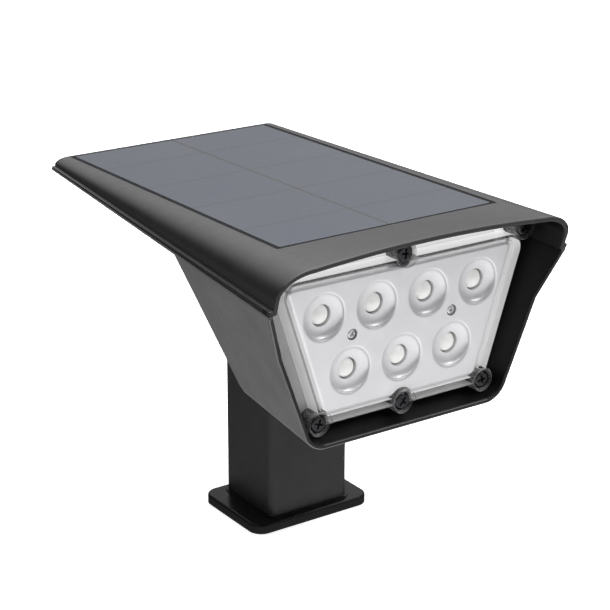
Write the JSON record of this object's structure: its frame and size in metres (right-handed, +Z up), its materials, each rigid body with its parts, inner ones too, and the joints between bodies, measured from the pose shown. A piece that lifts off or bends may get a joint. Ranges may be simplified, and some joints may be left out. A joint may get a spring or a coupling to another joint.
{
  "type": "solar flood light",
  "caption": "Solar flood light with a panel on its hood, a clear-covered LED lamp below, and a tilting head on a short square post with a flat foot.",
  "frame": {"origin": "centre of the foot's flat underside", "axes": "+Z up along the post; -Y is where the lamp looks; +X is to the right of someone facing along +Y at the lamp"},
  "size_m": [0.1152, 0.1581, 0.1209],
  "materials": {
    "black_plastic": "fine moulded grain, matt",
    "clear_plastic": "clear and polished",
    "silver_plate": "satin silver plating",
    "solar_cells": "dark blue-grey cells under a clear film",
    "black_rubber": "matt",
    "black_steel": "black zinc",
    "bright_steel": "zinc plated",
    "white_board": "white solder mask",
    "green_board": "green solder mask",
    "led_resin": "yellow phosphor",
    "battery_can": "blue sleeve over a metal can"
  },
  "bodies": {
    "base": {"post_tube": "black_plastic", "foot_flange": "black_plastic", "post_knuckle": "black_plastic", "foot_lock_screw": "black_steel", "knuckle_lock_screw": "black_steel", "pivot_bolt": "bright_steel", "pivot_nut": "bright_steel", "pivot_washer_left": "bright_steel", "pivot_washer_right": "bright_steel"},
    "head": {"top_cover": "black_plastic", "lower_housing": "black_plastic", "battery_holder": "black_plastic", "button_bezel": "black_plastic", "mode_switch": "black_plastic", "lens_cover": "clear_plastic", "reflector_plate": "silver_plate", "solar_panel": "solar_cells", "panel_gasket": "black_rubber", "lens_gasket": "black_rubber", "lens_screw_low_left": "black_steel", "lens_screw_low_middle": "black_steel", "lens_screw_low_right": "black_steel", "lens_screw_high_left": "black_steel", "lens_screw_high_middle": "black_steel", "lens_screw_high_right": "black_steel", "case_screw_front_left": "black_steel", "case_screw_front_right": "black_steel", "case_screw_rear_left": "black_steel", "case_screw_rear_right": "black_steel", "plate_screw_left": "bright_steel", "plate_screw_right": "bright_steel", "battery_contact_left": "bright_steel", "battery_contact_right": "bright_steel", "led_board": "white_board", "control_board": "green_board", "switch_board": "green_board", "led_1": "led_resin", "led_2": "led_resin", "led_3": "led_resin", "led_4": "led_resin", "led_5": "led_resin", "led_6": "led_resin", "led_7": "led_resin", "battery_cell": "battery_can"},
    "button": {"button_cap": "black_rubber"}
  },
  "joints": [
    {"name": "head_tilt", "type": "hinge", "parent": "base", "child": "head", "pos_m": [0, 0, 0.092], "axis": [-1, 0, 0], "range_deg": [-5, 75]},
    {"name": "button_press", "type": "slide", "parent": "head", "child": "button", "axis": [0, -0.0748, 0.9972], "range_m": [0, 0.0009], "stiffness_N_per_m": 1500}
  ]
}
